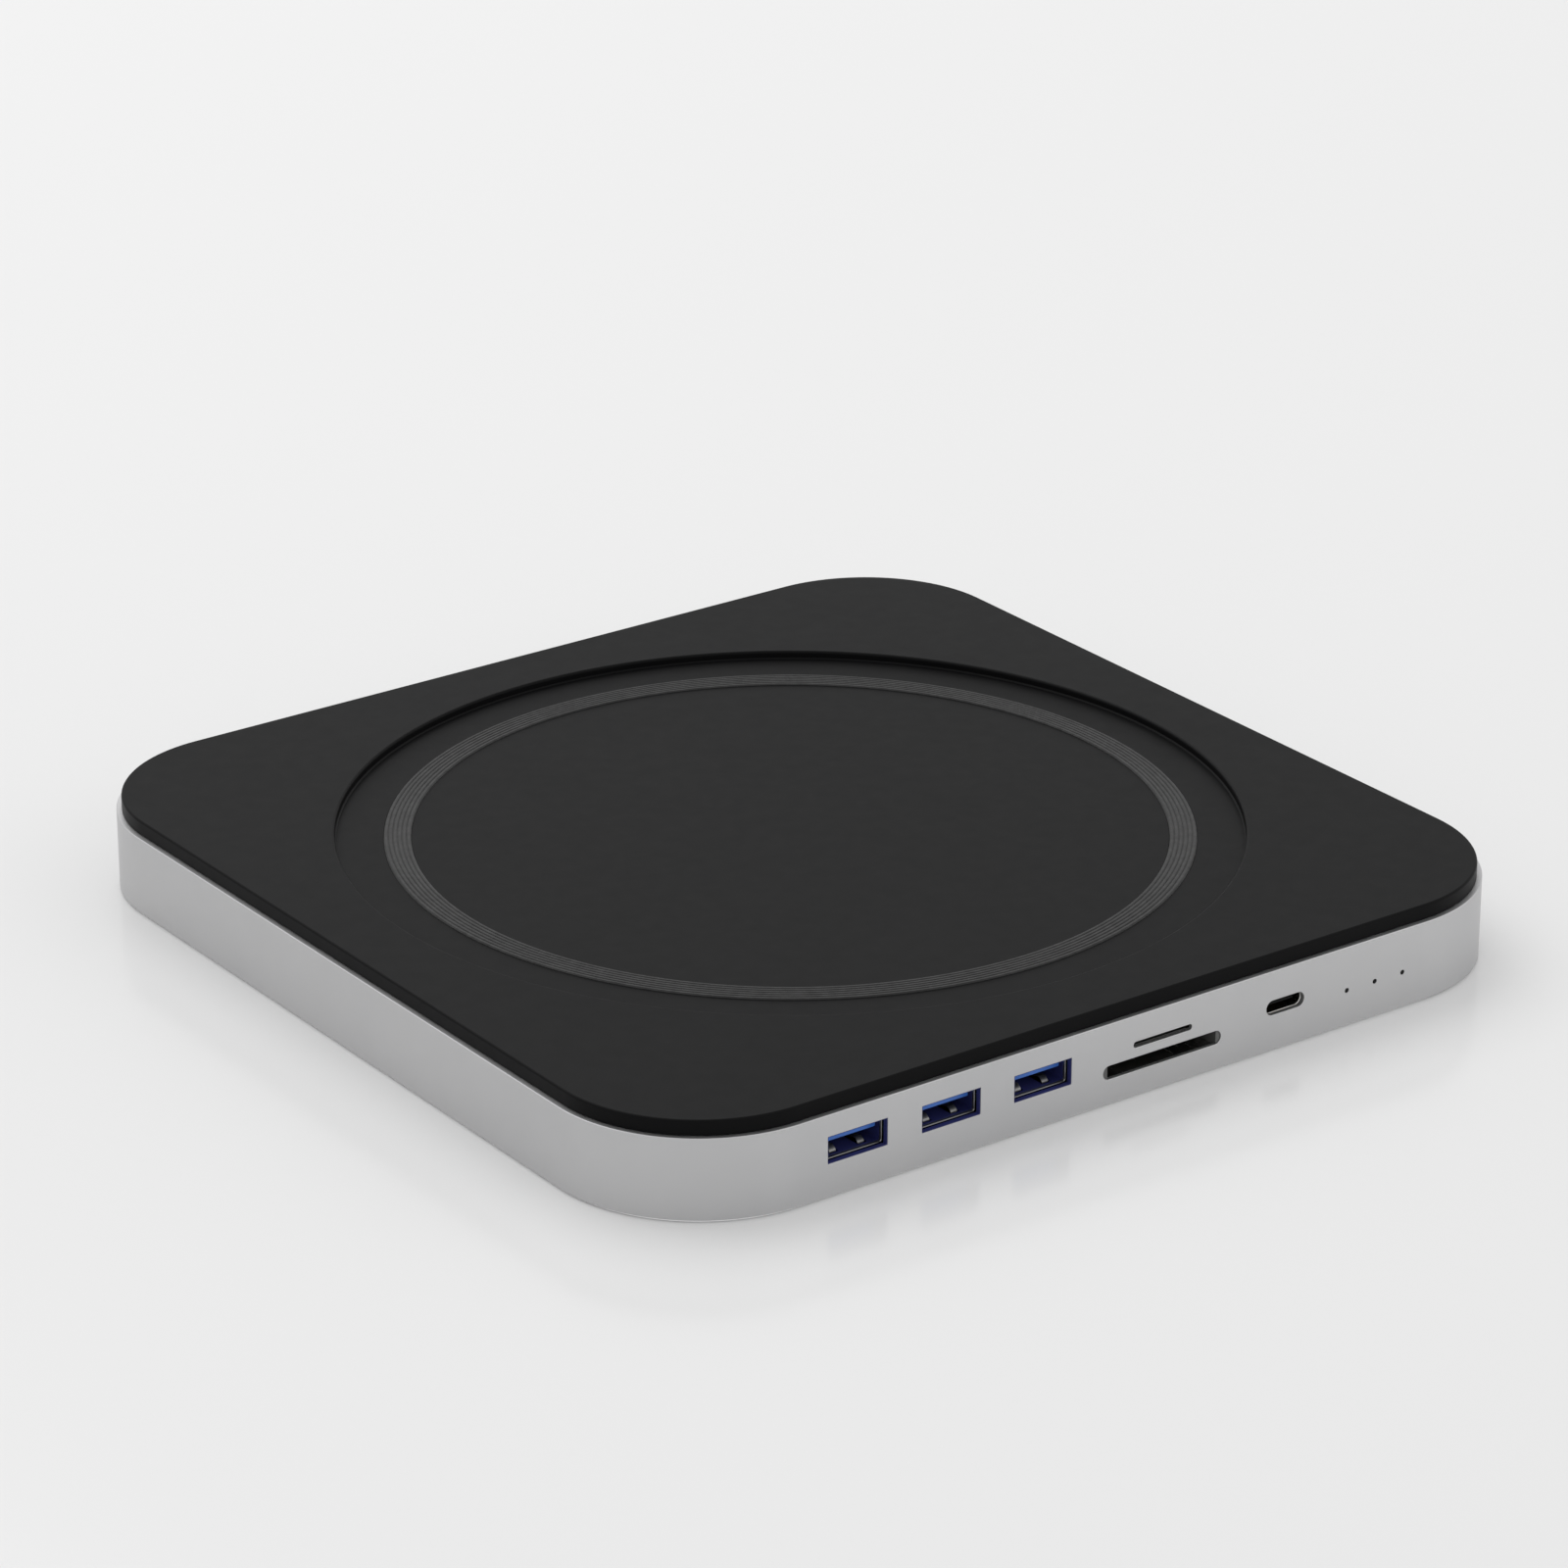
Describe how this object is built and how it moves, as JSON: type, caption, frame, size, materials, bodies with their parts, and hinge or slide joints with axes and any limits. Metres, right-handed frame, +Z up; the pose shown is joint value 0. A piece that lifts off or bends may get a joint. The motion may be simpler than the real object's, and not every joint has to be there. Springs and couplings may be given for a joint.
{
  "type": "usb hub",
  "caption": "Square aluminium USB hub and stand for a small desktop computer, with USB-A, card and USB-C ports in front and a drive bay door below.",
  "frame": {"origin": "middle of the footprint, on the surface that the four rubber feet stand on", "axes": "+Z up, -Y towards the front face with the ports, +X to the right seen from the front"},
  "size_m": [0.197, 0.197, 0.0185],
  "materials": {
    "frame_aluminium": "fine bead-blasted and clear anodised, satin silver",
    "black_plastic": "moulded ABS, satin black with a fine spark texture",
    "socket_plastic": "moulded black nylon",
    "usb_blue": "moulded bright blue",
    "port_metal": "nickel-plated sheet steel",
    "steel": "plain steel",
    "circuit_board": "green solder mask",
    "chip_black": "moulded black epoxy",
    "rubber": "matte black silicone rubber",
    "foam": "open-cell foam",
    "amber_film": "amber polyimide film",
    "clear_plastic": "clear acrylic",
    "led_white": "white package with a yellow phosphor window"
  },
  "bodies": {
    "hub_body": {"side_frame": "frame_aluminium", "top_tray": "black_plastic", "base_plate": "black_plastic", "drive_cradle": "black_plastic", "sata_connector": "socket_plastic", "sd_socket_base": "socket_plastic", "microsd_socket_base": "socket_plastic", "usb_c_front_tongue": "socket_plastic", "usb_c_host_tongue": "socket_plastic", "ribbon_socket_front": "socket_plastic", "ribbon_socket_rear": "socket_plastic", "usb_a_insert_1": "usb_blue", "usb_a_insert_2": "usb_blue", "usb_a_insert_3": "usb_blue", "usb_a_lining_1": "usb_blue", "usb_a_lining_2": "usb_blue", "usb_a_lining_3": "usb_blue", "usb_a_shell_1": "port_metal", "usb_a_shell_2": "port_metal", "usb_a_shell_3": "port_metal", "usb_c_front_shell": "port_metal", "usb_c_host_shell": "port_metal", "sd_socket_shell": "port_metal", "microsd_socket_shell": "port_metal", "case_screw_1": "steel", "case_screw_2": "steel", "case_screw_3": "steel", "case_screw_4": "steel", "cradle_screw_1": "steel", "cradle_screw_2": "steel", "cradle_screw_3": "steel", "cradle_screw_4": "steel", "board_screw_1": "steel", "board_screw_2": "steel", "board_screw_3": "steel", "board_screw_4": "steel", "rear_board_screw_1": "steel", "rear_board_screw_2": "steel", "hinge_pin": "steel", "crystal": "steel", "main_board": "circuit_board", "rear_board": "circuit_board", "hub_controller_chip": "chip_black", "card_reader_chip": "chip_black", "drive_bridge_chip": "chip_black", "power_inductor": "chip_black", "grip_ring": "rubber", "foot_1": "rubber", "foot_2": "rubber", "foot_3": "rubber", "foot_4": "rubber", "ribbon_cable": "amber_film", "light_guide": "clear_plastic", "led_power": "led_white", "led_drive": "led_white", "led_card": "led_white"},
    "door": {"bay_door": "black_plastic", "door_pad": "foam"},
    "latch": {"door_latch": "steel"},
    "card_slider": {"microsd_push_slider": "steel"}
  },
  "joints": [
    {"name": "bay_door_hinge", "type": "hinge", "parent": "hub_body", "child": "door", "pos_m": [0, 0.0626, 0.0022], "axis": [1, 0, 0], "range_deg": [0, 95]},
    {"name": "door_latch_slide", "type": "slide", "parent": "door", "child": "latch", "axis": [0, -1, 0], "range_m": [0, 0.003]},
    {"name": "card_eject_slide", "type": "slide", "parent": "hub_body", "child": "card_slider", "axis": [0, 1, 0], "range_m": [0, 0.0012], "stiffness_N_per_m": 600}
  ]
}
